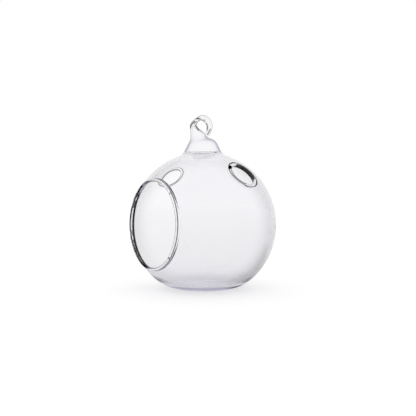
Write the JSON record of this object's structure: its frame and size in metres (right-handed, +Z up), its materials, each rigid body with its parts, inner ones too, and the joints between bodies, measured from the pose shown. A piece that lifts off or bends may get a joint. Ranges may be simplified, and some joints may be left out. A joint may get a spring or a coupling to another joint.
{
  "type": "hanging glass ball vase",
  "caption": "Clear blown-glass ball with a wide rimmed side mouth, small rimmed upper vents, a hollow neck with a drawn glass hook, and a slightly flattened foot.",
  "frame": {"origin": "centre of the flat foot, on the ball's upright axis", "axes": "+Z up through the ball and the neck, -Y out of the large side mouth, X across the mouth; the hook's plane is YZ"},
  "size_m": [0.082, 0.076, 0.0981],
  "materials": {
    "glass": "clear, fire-polished, colourless"
  },
  "bodies": {
    "root": {"glass_vase": "glass"}
  },
  "joints": []
}
